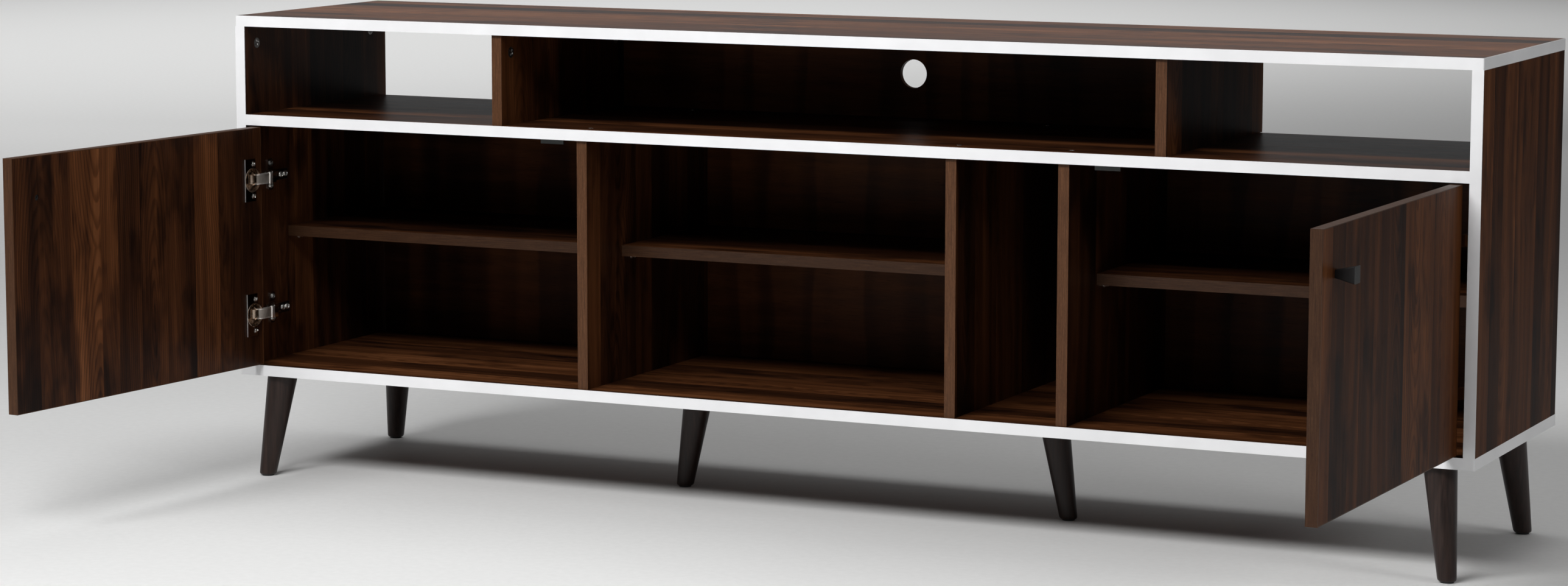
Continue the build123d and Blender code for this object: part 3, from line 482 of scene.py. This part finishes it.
def door_space(side):
    """Maps (u, v, z) on a door, in mm, to the row frame: u runs to the free edge, v to the inner face."""
    pivot = Vector((-HINGE_AXIS_X * hand(side), FRONT_Y, 0))
    u_way = Vector((cos(DOOR_TURN[side]), sin(DOOR_TURN[side]), 0))
    v_way = Vector((-u_way.y, u_way.x, 0)) * hand(side)
    return lambda u, v, z: (pivot + u_way * u + v_way * v + Vector((0, 0, z))) * MM


def side_space(side):
    """Maps (out, back, z), in mm from a side panel's inner face and the cabinet's front, to the row frame."""
    return lambda out, back, z: Vector(((-INNER_END + out) * hand(side), FRONT_Y + back, z)) * MM


def room_space(x, y, z):
    """Maps the CAD's own mm to the row frame."""
    return Vector((x, y, z)) * MM


def finish_piece(name, shape, material, body, replaced, slot, smooth_angle=35.0):
    """Turn a bmesh into a piece that rides on a body and stands for a CAD node, where these are given."""
    bmesh.ops.recalc_face_normals(shape, faces=shape.faces)
    mesh = bpy.data.meshes.new(name)
    shape.to_mesh(mesh)
    shape.free()
    mesh.materials.append(material)
    piece = bpy.data.objects.new(name, mesh)
    bpy.context.scene.collection.objects.link(piece)
    for polygon in mesh.polygons:
        polygon.use_smooth = True
    mesh.set_sharp_from_angle(angle=radians(smooth_angle))
    if body:
        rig.ride(piece, body)
    if replaced:
        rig.replaces(piece, replaced)
    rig.slot(piece, slot)
    return piece


def walls(shape, lower_rows, upper_rows):
    """Quads between each pair of rings of vertices."""
    for lower, upper in zip(lower_rows, upper_rows):
        for i in range(len(lower)):
            j = (i + 1) % len(lower)
            shape.faces.new((lower[i], lower[j], upper[j], upper[i]))


def skin(shape, rings):
    """Join rings of equal length into a closed shell, with flat caps at both ends."""
    rows = [[shape.verts.new(point) for point in ring] for ring in rings]
    walls(shape, rows, rows[1:])
    shape.faces.new(rows[0])
    shape.faces.new(rows[-1])


def circle(radius, count, turn=0.0):
    """Points round a circle about the origin."""
    angles = [tau * k / count + turn for k in range(count)]
    return [(radius * cos(a), radius * sin(a)) for a in angles]


def prism(shape, outline, z_mid, half_high, space, chamfer):
    """Upright shell of a plan outline, chamfered at both ends; the outline's points go to space(a, b, z)."""
    low, high = z_mid - half_high, z_mid + half_high
    middle = Vector((sum(p[0] for p in outline), sum(p[1] for p in outline))) / len(outline)
    inner = []
    for point in outline:
        reach = Vector(point) - middle
        inner.append(middle + reach * (1 - chamfer / max(reach.length, 0.01)))
    levels = ((inner, low), (outline, low + chamfer), (outline, high - chamfer), (inner, high))
    skin(shape, [[space(p[0], p[1], z) for p in plan] for plan, z in levels])


def rounded(outline, radius, steps=4):
    """Plan outline with its corners rounded off."""
    points = []
    for i, corner in enumerate(outline):
        here = Vector(corner)
        before = Vector(outline[i - 1]) - here
        after = Vector(outline[(i + 1) % len(outline)]) - here
        reach = min(radius, before.length * 0.45, after.length * 0.45)
        start, end = here + before.normalized() * reach, here + after.normalized() * reach
        for k in range(steps + 1):
            t = k / steps
            points.append(tuple(start * (1 - t) ** 2 + here * 2 * t * (1 - t) + end * t * t))
    return points


def basis(direction):
    """Two directions square to the given one."""
    way = Vector(direction).normalized()
    first = way.orthogonal().normalized()
    if abs(way.z) < 0.9:
        first = Vector((0, 0, 1))
    return first, way.cross(first).normalized(), way


def cross_depth(x, y, long_half, wide_half):
    """1 inside a cross-shaped recess, 0 outside it."""
    inside_bar = (abs(x) < long_half and abs(y) < wide_half) or (abs(y) < long_half and abs(x) < wide_half)
    return 1.0 if inside_bar else 0.0


# Rings of a screw's head, close together at the ends of the cross, and half the cross's length and width, as
# shares of the head's radius
HEAD_RINGS = (0.12, 0.20, 0.24, 0.30, 0.40, 0.50, 0.56, 0.60, 0.68, 0.80, 0.90, 0.97, 1.0)
CROSS_LONG, CROSS_WIDE = 0.58, 0.17
HEAD_TOP = 0.96

# Head's radius and height, and shank's radius and length, of each screw and cam
CUP_SCREW, KNOB_SCREW = (3.4, 1.3, 1.7, 11), (3.9, 1.6, 2, 20)
ARM_SCREW, PLATE_SCREW = (3.9, 1.7, 2, 11), (4, 2.2, 2.5, 12)
CAM, CARCASS_SCREW = (7.4, 1.5, 7.4, 10.4), (4.9, 3.5, 2.5, 46)
BACK_SCREW, STOP_SCREW = (2.8, 1.2, 1.5, 20), (2.8, 1.2, 1.5, 12)


def fastener(shape, place, outward, size, dome, twist):
    """Screw with a cross recess. place is the middle of the head's seat in the row frame, in metres."""
    head_r, head, shank_r, shank = size
    first, second, way = basis(outward)
    centre = Vector(place)
    recess_deep = min(head * 0.8, head_r * 0.5)

    def ring(radius, height, recess=0.0):
        points = []
        for x, y in circle(radius, SCREW_SEGMENTS, twist):
            sunk = cross_depth(x * cos(twist) + y * sin(twist), y * cos(twist) - x * sin(twist),
                               CROSS_LONG * head_r, CROSS_WIDE * head_r)
            points.append(centre + (first * x + second * y + way * (height - recess * sunk)) * MM)
        return points

    rings = [ring(shank_r, -shank), ring(shank_r, 0.0), ring(head_r, 0.0)]
    rings.append(ring(head_r, head * (1 - dome) * 0.9))
    for share in reversed(HEAD_RINGS):
        lift = head * (1 - dome * share ** 4)
        rings.append(ring(share * head_r * HEAD_TOP, lift, recess_deep))
    skin(shape, rings)


def fasteners(name, node, body, spots, size, material, dome=0.35):
    """One mesh of cross-recess screws in place of a CAD node; spots are (seat, way out) pairs in metres."""
    shape = bmesh.new()
    for number, (seat, outward) in enumerate(spots):
        fastener(shape, seat, outward, size, dome, 0.35 + 0.7 * number)
    finish_piece(name, shape, material, body, node, "zinc_steel")


# ---------------------------------------------------------------- legs
LEG_SEGMENTS = 72
LEG_HIGH, FOOT_R, LEG_TAPER, GLIDE = 145, 12, 9.5, 2
# Each foot's place in plan, and how far the leg's top lies from it
LEG_FEET = {"leg_front_left": (-865, -180, 17, 17), "leg_front_right": (865, -180, -17, 17),
            "leg_middle_left": (-289, 0, 24, 0), "leg_middle_right": (289, 0, -24, 0),
            "leg_rear_left": (-865, 173.5, 17, -17), "leg_rear_right": (865, 173.5, -17, -17)}


def leg_piece(node):
    """Slanted tapered leg with a rounded foot and a softened top edge."""
    foot_x, foot_y, lean_x, lean_y = LEG_FEET[node]
    shape = bmesh.new()
    rings = []
    levels = [(9.0, 2.0), (10.6, 2.3), (11.5, 3.1), (12.1, 4.6)]
    levels += [(FOOT_R + LEG_TAPER * (z - GLIDE) / (LEG_HIGH - GLIDE), z) for z in range(8, 144, 9)]
    levels += [(21.4, LEG_HIGH - 0.8), (21.0, LEG_HIGH)]
    for radius, z in levels:
        share = (z - GLIDE) / (LEG_HIGH - GLIDE)
        centre_x, centre_y = foot_x + lean_x * share, foot_y + lean_y * share
        rings.append([room_space(centre_x + x, centre_y + y, z) for x, y in circle(radius, LEG_SEGMENTS)])
    skin(shape, rings)
    finish_piece(f"{node}_turning", shape, LEG, "carcass", node, "dark_leg_wood", 50)


for node in LEG_FEET:
    leg_piece(node)

# ---------------------------------------------------------------- hinges
HINGE_HEIGHTS = (235, 426)
CUP_U, CUP_R, CUP_HOLE_R, INNER_FACE = 18, 17.5, 17.1, 20
FLANGE_BEFORE, FLANGE_PAST, FLANGE_HALF_HIGH, FLANGE_THICK = 6, 18, 30, 1
FLANGE_STEPS, CLOSEST_ANGLES = 96, 0.004
CUP_SCREW_U, CUP_SCREW_RISES = 16, (-22.5, 22.5)
KNOB_U, KNOB_Z, KNOB_SCREW_SUNK = 473, 444, 2.4


def flange_reach(angle):
    """Distance from the cup's middle to the edge of its flange, in the flange's plane."""
    c, s = cos(angle), sin(angle)
    side_reach = (FLANGE_PAST if c > 0 else FLANGE_BEFORE) / max(abs(c), 1e-6)
    plate_reach = min(side_reach, FLANGE_HALF_HIGH / max(abs(s), 1e-6))
    return max(plate_reach, CUP_R)


def flange_angles():
    """Directions round the cup, with one at each corner of the flange and where its sides meet the cup."""
    corners = [atan2(FLANGE_HALF_HIGH, FLANGE_PAST), atan2(FLANGE_HALF_HIGH, -FLANGE_BEFORE),
               acos(-FLANGE_BEFORE / CUP_R)]
    special = [sign * a for a in corners for sign in (1, -1)]
    regular = [tau * k / FLANGE_STEPS for k in range(FLANGE_STEPS)]
    angles = sorted(a % tau for a in special + regular)
    return [a for i, a in enumerate(angles) if i == 0 or a - angles[i - 1] > CLOSEST_ANGLES]


def flange_plate(shape, space, z_mid, edge=0.25):
    """Flange plate with its round hole, edges eased, as one closed shell. Each loop shrinks the outline, or
    grows the hole where shrink is None."""
    angles = flange_angles()
    low, high = INNER_FACE, INNER_FACE + FLANGE_THICK
    loops = []
    for shrink, grow, v in ((0, 0, low), (0, 0, high - edge), (edge, 0, high), (None, edge, high),
                            (None, 0, high - edge), (None, 0, low)):
        loop = []
        for a in angles:
            r = CUP_HOLE_R + grow if shrink is None else flange_reach(a) - shrink
            loop.append(shape.verts.new(space(CUP_U + r * cos(a), v, z_mid + r * sin(a))))
        loops.append(loop)
    walls(shape, loops, loops[1:] + loops[:1])


def cup_shell(shape, space, z_mid):
    """Drawn cup: rolled lip, wall, rounded bottom corner and floor, closed behind."""
    profile = [(17.3, 8.7), (17.4, 20.9), (17.1, 21.25), (16.7, 21.35), (16.35, 21.2), (16.2, 20.6),
               (16.0, 12.2), (15.4, 10.7), (14.0, 9.9), (12.0, 9.75)]
    skin(shape, [[space(CUP_U + x, v, z_mid + y) for x, y in circle(radius, CUP_SEGMENTS)]
                 for radius, v in profile])


def peg(shape, space, a, b, z_mid, half_high, radius):
    """Upright pin in a hinge, at (a, b) of the given space."""
    prism(shape, [(a + x, b + y) for x, y in circle(radius, PEG_SEGMENTS)], z_mid, half_high, space, 0.2)


# Plan outlines of the hinge's parts: those on the door in door space, then those on the carcass in side space
KNUCKLE = rounded(((6.5, 10.5), (16.5, 10.5), (17.5, 15.0), (14.5, 18.2), (9.0, 18.8), (6.0, 16.5)), 2.5)
# Bright strip over each flange's far edge: a painted highlight standing for the light line along that edge
FLANGE_EDGE_HIGHLIGHT = rounded(((35.0, 20.6), (35.0, 21.6), (36.0, 21.6), (36.0, 20.1)), 0.35, 2)
ARM_BODY = rounded(((9, 84), (9, 37), (16, 31.5), (23.4, 27), (23.4, 12.2), (31, 12.2), (31, 29.5), (24, 37.5),
                    (15, 44.5), (15, 84)), 1.6)
ARM_NOSE = rounded(((26.5, 19.5), (26.5, 11.9), (31.6, 11.9), (31.6, 19.5)), 1.4)
ARM_RIDGE = rounded(((14.6, 61), (14.6, 47.5), (15.9, 48.5), (16.1, 59.5)), 0.5)
LINK_START, LINK_END = (26.5, 12.6), (22.0, -12.5)
LINK_STEPS, LINK_BOW = 26, 1.6


def hinge_cup_pieces(side):
    """A door's hinge cups: flanges with raised screw seats, bright strips along the flanges' far edges that paint a
    highlight line there, and bowls with knuckles and pins.
    """
    space = door_space(side)
    body, node = f"{side}_door", f"{side}_hinge_cups"
    shape = bmesh.new()
    for z in HINGE_HEIGHTS:
        flange_plate(shape, space, z)
        for rise in CUP_SCREW_RISES:
            skin(shape, [[space(CUP_SCREW_U + x, v, z + rise + y) for x, y in circle(radius, SEAT_SEGMENTS)]
                         for radius, v in ((4.6, 20.6), (4.6, 21.15), (4.3, 21.3), (3.9, 21.3), (3.6, 21.1))])
    # The flanges take the darkened nickel, painted shade
    finish_piece(f"{side}_hinge_flanges", shape, FLANGE_NICKEL_PAINTED_DARK, body, node, "nickel_steel", 30)
    # Painted highlight: the bright strips along the flanges' far edges
    shape = bmesh.new()
    for z in HINGE_HEIGHTS:
        prism(shape, FLANGE_EDGE_HIGHLIGHT, z, FLANGE_HALF_HIGH, space, 0.3)
    finish_piece(f"{side}_hinge_flange_edge_highlights", shape, HIGHLIGHT_PAINTED_NICKEL, body, node, "nickel_steel", 30)
    shape = bmesh.new()
    for z in HINGE_HEIGHTS:
        cup_shell(shape, space, z)
        prism(shape, KNUCKLE, z, 6.8, space, 0.6)
        peg(shape, space, 11.5, 16.0, z, 8.2, 1.6)
        peg(shape, space, 8.5, 12.8, z, 9.0, 1.5)
    finish_piece(f"{side}_hinge_cup_bowls", shape, CUP_NICKEL, body, node, "nickel_steel", 40)


def add_arms(shape, side):
    """Hinge arms on a side panel, with a ridge and two cross pins each."""
    space = side_space(side)
    for z in HINGE_HEIGHTS:
        prism(shape, ARM_BODY, z, 7.6, space, 0.7)
        prism(shape, ARM_RIDGE, z, 5.5, space, 0.5)
        for back in (17.0, 24.0):
            peg(shape, space, 27.4, back, z, 8.7, 1.9)


def add_arm_noses(shape, side):
    """Front ends of the hinge arms, in the brighter nickel that paints a highlight on them."""
    for z in HINGE_HEIGHTS:
        prism(shape, ARM_NOSE, z, 8, side_space(side), 0.6)


def link_piece(side, name, material, strips):
    """Part of the hinge's folding links, which bends between the arm and the cup. Each strip is (lowest,
    highest, thickness, how far it stands out)."""
    space = side_space(side)
    shape = bmesh.new()
    for z in HINGE_HEIGHTS:
        for low, high, thick, off in strips:
            section = ((-1, low), (-0.6, low), (0.6, low), (1, low + 0.3), (1, high - 0.3), (0.6, high),
                       (-0.6, high), (-1, high))
            rings = []
            for k in range(LINK_STEPS + 1):
                t = k / LINK_STEPS
                middle = Vector(LINK_START).lerp(Vector(LINK_END), t)
                middle.x += LINK_BOW * sin(pi * t) + off
                half = thick / 2 * (1 - 0.25 * (2 * t - 1) ** 6)
                rings.append([space(middle.x + a * half, middle.y, z + b) for a, b in section])
            skin(shape, rings)
    bmesh.ops.remove_doubles(shape, verts=shape.verts, dist=1e-7)
    piece = finish_piece(f"{side}_{name}", shape, material, None, None, "nickel_steel", 30)
    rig.blend(piece, "carcass", f"{side}_door", space(26, 12, 330), space(23, -9, 330))


for side in SIDES:
    hinge_cup_pieces(side)
    link_piece(side, "hinge_links", BRUSHED, ((-5.7, 5.7, 1.8, 3.1),))
    # The link cheeks take the brighter nickel, which paints highlights along the links' edges
    link_piece(side, "hinge_link_cheeks", HIGHLIGHT_PAINTED_NICKEL, ((-7.4, -5.6, 8.0, 0.6), (5.6, 7.4, 8.0, 0.6)))
    space = door_space(side)
    away = space(0, 1, 0) - space(0, 0, 0)
    cup_seats = [(space(CUP_SCREW_U, INNER_FACE + 1.1, z + rise), away)
                 for z in HINGE_HEIGHTS for rise in CUP_SCREW_RISES]
    fasteners(f"{side}_hinge_cup_screw_heads", f"{side}_hinge_cup_screws", f"{side}_door", cup_seats,
              CUP_SCREW, NICKEL)
    knob_seat = space(KNOB_U, INNER_FACE - KNOB_SCREW_SUNK, KNOB_Z)
    fasteners(f"{side}_knob_screw_head", f"{side}_knob_screw", f"{side}_door", [(knob_seat, away)],
              KNOB_SCREW, BLACK_STEEL, 0.2)
# The arm noses take the brighter nickel, a painted highlight
for name, add_to, material in (("hinge_arm_bodies", add_arms, NICKEL),
                               ("hinge_arm_noses", add_arm_noses, HIGHLIGHT_PAINTED_NICKEL)):
    arms = bmesh.new()
    for side in SIDES:
        add_to(arms, side)
    finish_piece(name, arms, material, "carcass", "hinge_arms", "nickel_steel", 40)

# ---------------------------------------------------------------- screws and cams on the carcass
FIXING_Y = (-160.5, 147.5)
LOWER_DIVIDERS = (-350.5, 193.5, 350.5)
UPPER_DIVIDERS = (-481.5, 481.5)
SIDE_MIDDLE, DIVIDER_INNER_FACE, SHELF_CAM_X = 892.5, 474, 860
UNDERSIDE, SHELF_LOW, SHELF_HIGH, CAM_Z = 145, 501, 516, 615
BACK_FACE = 187.5
STOP_CENTRES, STOP_Y, STOP_FACE = (-404.5, 404.5), -163, 499
CAM_SUNK, CARCASS_SCREW_SUNK = 1.3, 3.6
UP, DOWN, BACK = Vector((0, 0, 1)), Vector((0, 0, -1)), Vector((0, 1, 0))
RIGHT, LEFT = Vector((1, 0, 0)), Vector((-1, 0, 0))


def seats(points, outward, sunk):
    """Seats of screw heads, given points on the surface and how deep the seat lies below it."""
    return [(room_space(*point) - outward * sunk * MM, outward) for point in points]


arm_seats, plate_seats = [], []
for side in SIDES:
    space = side_space(side)
    for z in HINGE_HEIGHTS:
        arm_seats += [(space(15, back, z), RIGHT * hand(side)) for back in (67, 78)]
        plate_seats += [(space(2, 60, z + rise), RIGHT * hand(side)) for rise in (-16, 16)]
fasteners("hinge_arm_screw_heads", "hinge_arm_screws", "carcass", arm_seats, ARM_SCREW, ZINC)
fasteners("hinge_plate_screw_heads", "hinge_plate_screws", "carcass", plate_seats, PLATE_SCREW, ZINC)

cams = []
for fixing_y in FIXING_Y:
    cams += seats([(x, fixing_y, CAM_Z) for x in (-INNER_END, -DIVIDER_INNER_FACE)], RIGHT, CAM_SUNK)
    cams += seats([(x, fixing_y, CAM_Z) for x in (DIVIDER_INNER_FACE, INNER_END)], LEFT, CAM_SUNK)
    cams += seats([(x, fixing_y, SHELF_LOW) for x in (-SHELF_CAM_X, SHELF_CAM_X)], DOWN, CAM_SUNK)
fasteners("cam_lock_faces", "cam_locks", "carcass", cams, CAM, CAM_ZINC, 0.06)

joints = []
for fixing_y in FIXING_Y:
    underneath = (-SIDE_MIDDLE, *LOWER_DIVIDERS, SIDE_MIDDLE)
    joints += seats([(x, fixing_y, UNDERSIDE) for x in underneath], DOWN, CARCASS_SCREW_SUNK)
    joints += seats([(x, fixing_y, SHELF_HIGH) for x in LOWER_DIVIDERS], UP, CARCASS_SCREW_SUNK)
    joints += seats([(x, fixing_y, SHELF_LOW) for x in UPPER_DIVIDERS], DOWN, CARCASS_SCREW_SUNK)
fasteners("carcass_screw_heads", "carcass_screws", "carcass", joints, CARCASS_SCREW, ZINC, 0.08)

back_spots = [(x, BACK_FACE, (SHELF_LOW + SHELF_HIGH) / 2) for x in (-860, -610, 0, 610, 860)]
back_spots += [(x, BACK_FACE, z) for x in LOWER_DIVIDERS for z in (230, 431)]
fasteners("back_panel_screw_heads", "back_panel_screws", "carcass", seats(back_spots, BACK, 0),
          BACK_SCREW, ZINC)
stop_spots = [(centre + shift, STOP_Y, STOP_FACE) for centre in STOP_CENTRES for shift in (-10, 10)]
fasteners("door_stop_screw_heads", "door_stop_screws", "carcass", seats(stop_spots, DOWN, 0),
          STOP_SCREW, ZINC)


# ---------------------------------------------------------------- floor, light and camera, in metres
FLOOR_HALF = 14.0


def pale_floor():
    """Pale matt floor."""
    graph = Graph("pale_floor")
    speckle = graph.noise(graph.place, 90.0, 3.0)
    colour = graph.ramp(speckle, [(0.3, (0.66, 0.66, 0.655)), (0.7, (0.69, 0.69, 0.685))])
    graph.set(Base_Color=colour, Roughness=0.7)
    mesh = bpy.data.meshes.new("studio_floor")
    corners = [(x * FLOOR_HALF, y * FLOOR_HALF, 0) for x, y in ((-1, -1), (1, -1), (1, 1), (-1, 1))]
    mesh.from_pydata(corners, [], [(0, 1, 2, 3)])
    floor = bpy.data.objects.new("studio_floor", mesh)
    floor.data.materials.append(graph.material)
    bpy.context.scene.collection.objects.link(floor)
    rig.stage(floor)


def area_light(name, place, aim, size, power, spread=180):
    """Rectangular soft light at a place in metres, turned to its aim."""
    light = bpy.data.lights.new(name, "AREA")
    light.spread = radians(spread)
    light.shape = "RECTANGLE"
    light.size, light.size_y = size
    light.energy = power
    lamp = bpy.data.objects.new(name, light)
    lamp.location = place
    lamp.rotation_euler = (Vector(aim) - Vector(place)).to_track_quat("-Z", "Y").to_euler()
    bpy.context.scene.collection.objects.link(lamp)
    return lamp


pale_floor()
world = bpy.data.worlds.new("studio_world")
world.use_nodes = True
world.node_tree.nodes["Background"].inputs["Color"].default_value = (0.97, 0.98, 1.0, 1)
world.node_tree.nodes["Background"].inputs["Strength"].default_value = 0.05
bpy.context.scene.world = world
bpy.context.scene.view_settings.view_transform = "Standard"
area_light("key_light", (-0.6, -3.2, 3.2), (-0.1, 0.0, 0.30), (3.0, 1.2), 205)
area_light("top_light", (0.0, 0.6, 3.0), (0.0, 0.0, 0.5), (3.5, 1.2), 26)
area_light("room_light", (0.0, 2.0, 8.0), (0.0, 2.0, 0.0), (18.0, 18.0), 220)
area_light("right_light", (4.4, -0.9, 2.2), (0.9, 0.0, 0.35), (1.2, 1.2), 4, 60)
area_light("rear_floor_light", (-5.5, 7.5, 5.0), (-5.9, 7.7, 0.0), (10.0, 8.0), 250, 90)
# Only the top's grazing gloss needs this one, so the camera doesn't see it in the background
sheen_light = area_light("sheen_light", (-2.0, 5.0, 1.15), (-0.3, 0.0, 0.58), (5.5, 0.9), 6.0)
sheen_light.visible_camera = False

CAMERA_PLACE = (2.2413, -4.9956, 1.0246)
CAMERA_TURN = (0.1308, 0.0308, -0.4435)
FOCAL = 92.77
SENSOR = 36
FARTHEST = 60


def aim_camera():
    """Camera of a long lens, to the right of the cabinet and a little above it."""
    camera = bpy.data.cameras.new("camera")
    camera.lens = FOCAL
    camera.sensor_width = SENSOR
    camera.clip_end = FARTHEST
    holder = bpy.data.objects.new("camera", camera)
    turn = Vector(CAMERA_TURN)
    spin = Matrix.Rotation(turn.length, 3, turn.normalized())
    level = Matrix(((1, 0, 0), (0, 0, -1), (0, 1, 0)))
    to_world = (level @ spin).transposed() @ Matrix.Diagonal((1, -1, -1))
    holder.matrix_world = Matrix.Translation(CAMERA_PLACE) @ to_world.to_4x4()
    bpy.context.scene.collection.objects.link(holder)
    bpy.context.scene.camera = holder


aim_camera()

new_low, new_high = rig.bounds()
with open("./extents.json", "w") as size_file:
    json.dump({"cad": [list(cad_low), list(cad_high)], "visual": [list(new_low), list(new_high)]}, size_file)
